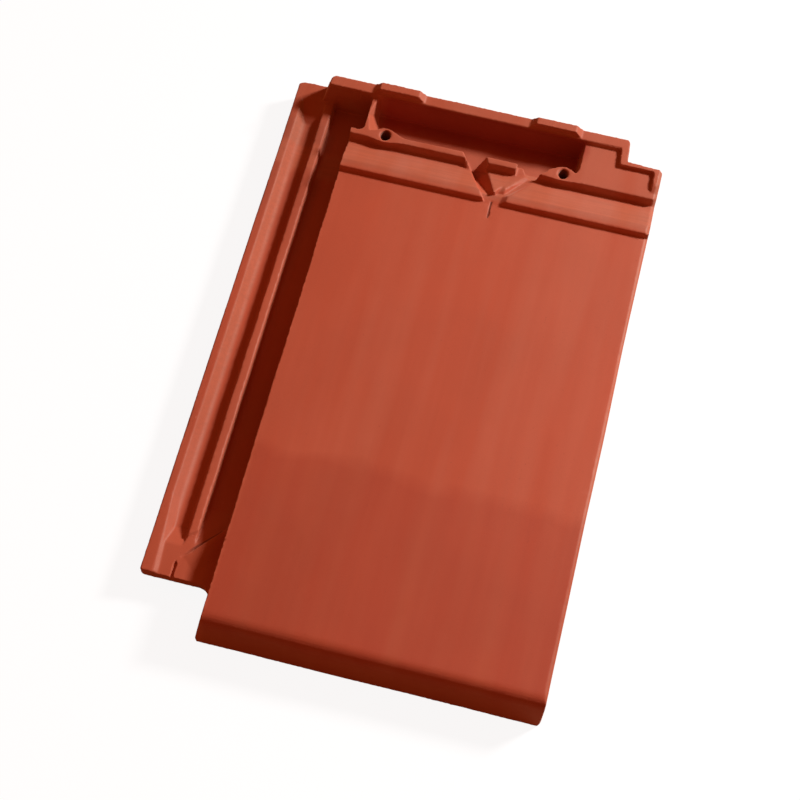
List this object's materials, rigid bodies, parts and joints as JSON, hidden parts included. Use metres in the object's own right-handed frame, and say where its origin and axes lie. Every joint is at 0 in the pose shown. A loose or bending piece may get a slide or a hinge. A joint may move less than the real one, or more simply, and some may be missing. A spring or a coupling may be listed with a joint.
{
  "type": "flat interlocking clay roof tile",
  "caption": "Flat interlocking clay roof tile with a side lock, a ribbed head with trough, V shaped drain and nail holes, a down-turned nose, a cover lip and batten lugs below.",
  "frame": {"origin": "centre of the bounding box's bottom, on the floor that the tile lies on", "axes": "+X across the tile from the side lock to the cover lip, +Y up the roof slope from the nose to the head, +Z out of the weather face"},
  "size_m": [0.288, 0.447, 0.0471],
  "materials": {
    "fired_clay": "natural red engobe-free fired clay, semi-matte"
  },
  "bodies": {
    "root": {"roof_tile": "fired_clay"}
  },
  "joints": []
}
